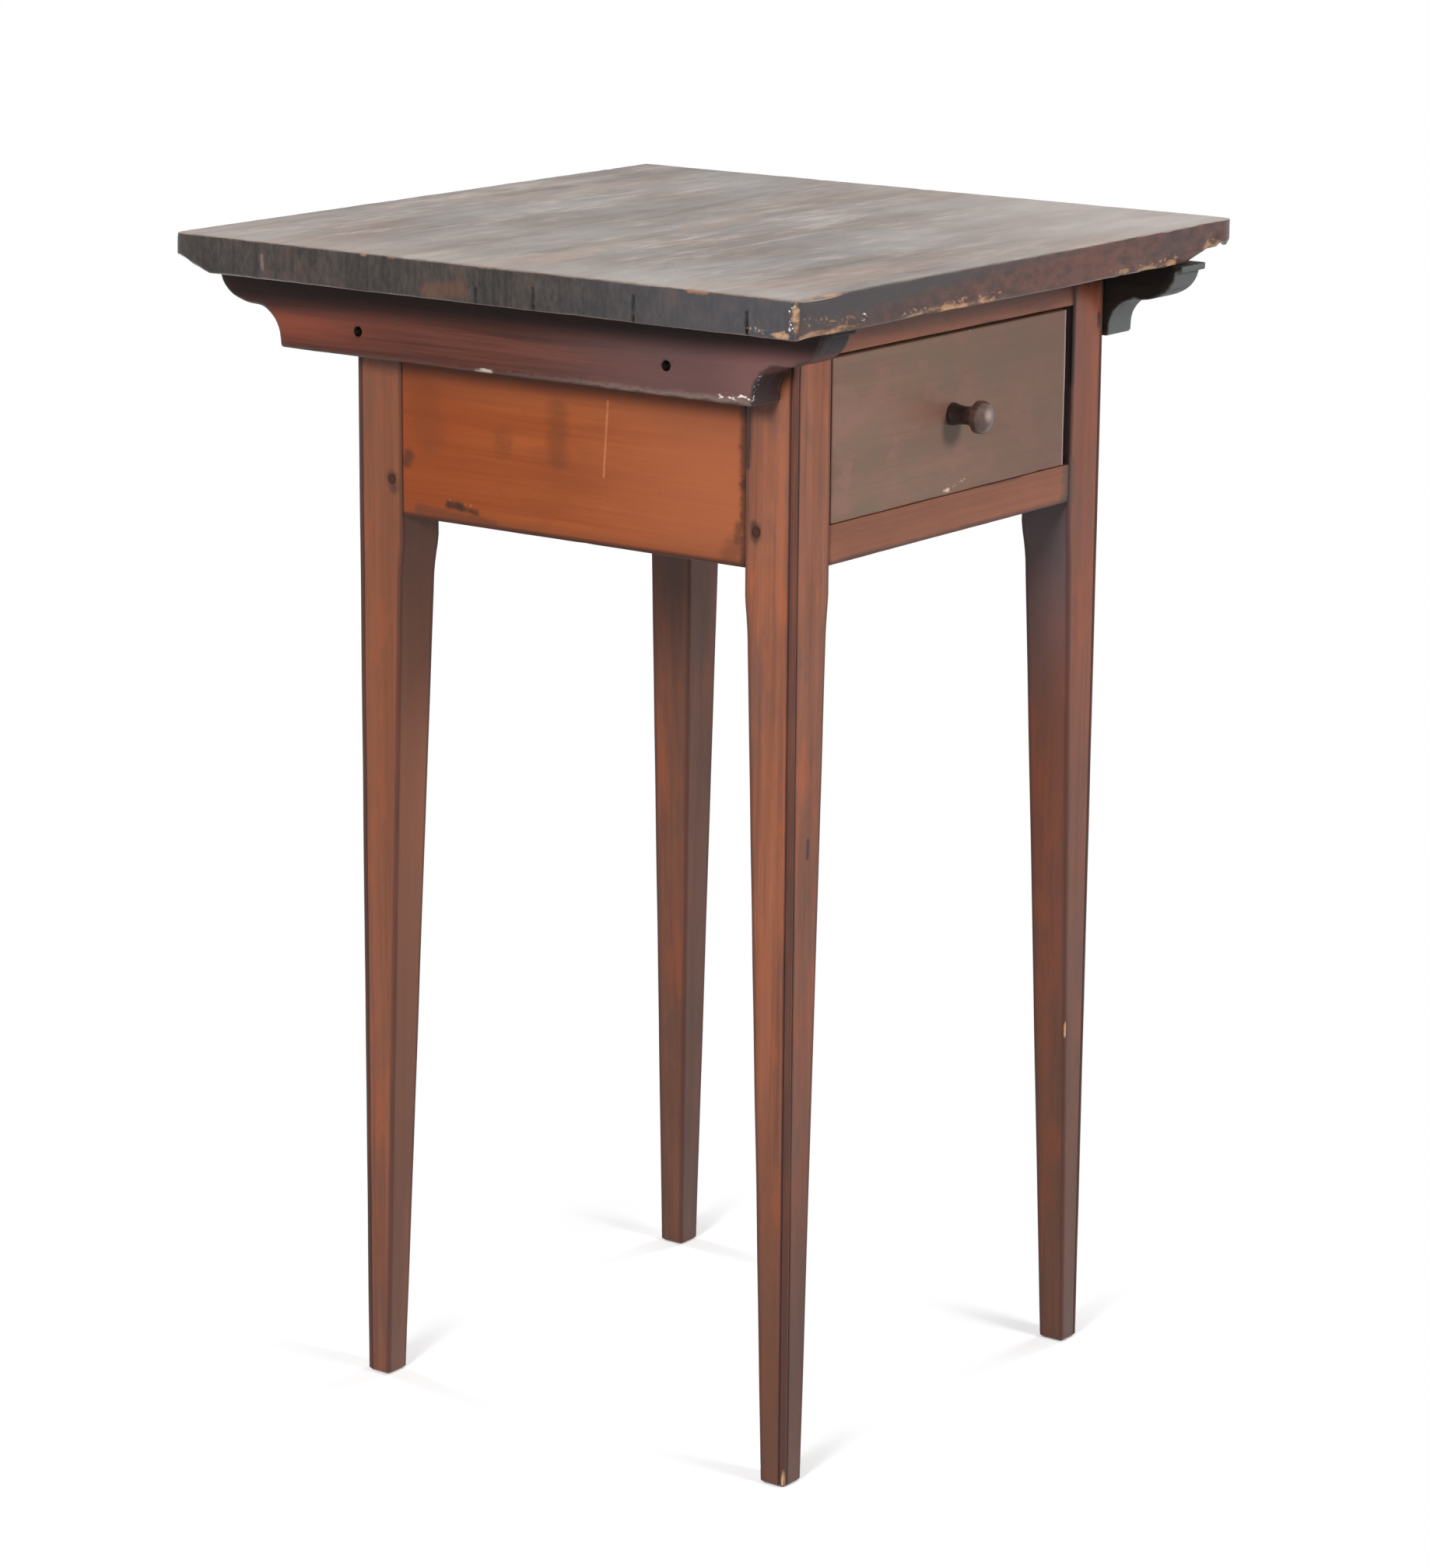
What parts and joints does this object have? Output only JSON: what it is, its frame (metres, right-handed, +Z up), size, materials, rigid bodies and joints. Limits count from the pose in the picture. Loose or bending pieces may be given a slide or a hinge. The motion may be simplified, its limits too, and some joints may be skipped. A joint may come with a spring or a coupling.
{
  "type": "one-drawer stand",
  "caption": "Square-topped wooden side stand with tapered legs, scroll-ended cleats under the top and a dovetailed drawer.",
  "frame": {"origin": "on the floor under the middle of the top", "axes": "+Z up, -Y the way the drawer opens, +X to the right of someone facing the drawer"},
  "size_m": [0.468, 0.469, 0.724],
  "materials": {
    "top_wood": "worn, grey-brown, satin",
    "frame_wood": "red-brown old varnish, satin",
    "peg_wood": "red-brown old varnish, satin",
    "cleat_wood": "dark red-brown old varnish, satin",
    "drawer_wood": "grey-brown old varnish, satin",
    "inside_wood": "bare, dry, unfinished",
    "knob_wood": "dark, turned, satin",
    "iron": "dark, dull"
  },
  "bodies": {
    "frame": {"top": "top_wood", "leg_front_left": "frame_wood", "leg_back_left": "frame_wood", "leg_front_right": "frame_wood", "leg_back_right": "frame_wood", "apron_left": "frame_wood", "apron_right": "frame_wood", "apron_back": "frame_wood", "rail_lower": "frame_wood", "rail_upper": "frame_wood", "cleat_left": "cleat_wood", "cleat_right": "cleat_wood", "runner_left": "inside_wood", "runner_right": "inside_wood", "guide_left": "inside_wood", "guide_right": "inside_wood", "kicker_left": "inside_wood", "kicker_right": "inside_wood", "stop_left": "inside_wood", "stop_right": "inside_wood", "peg_front_left_side_lower": "peg_wood", "peg_front_left_side_upper": "peg_wood", "peg_back_left_side_lower": "peg_wood", "peg_back_left_side_upper": "peg_wood", "peg_front_right_side_lower": "peg_wood", "peg_front_right_side_upper": "peg_wood", "peg_back_right_side_lower": "peg_wood", "peg_back_right_side_upper": "peg_wood", "peg_back_left_back_lower": "peg_wood", "peg_back_left_back_upper": "peg_wood", "peg_back_right_back_lower": "peg_wood", "peg_back_right_back_upper": "peg_wood", "cleat_screw_front_left": "iron", "cleat_screw_back_left": "iron", "cleat_screw_front_right": "iron", "cleat_screw_back_right": "iron", "top_screw_front_left": "iron", "top_screw_back_left": "iron", "top_screw_front_right": "iron", "top_screw_back_right": "iron"},
    "drawer": {"drawer_front": "drawer_wood", "drawer_side_left": "inside_wood", "drawer_side_right": "inside_wood", "drawer_back": "inside_wood", "drawer_bottom": "inside_wood", "bottom_nail_left": "iron", "bottom_nail_middle": "iron", "bottom_nail_right": "iron", "knob": "knob_wood"}
  },
  "joints": [
    {"name": "drawer_slide", "type": "slide", "parent": "frame", "child": "drawer", "axis": [0, -1, 0], "range_m": [0, 0.2]}
  ]
}
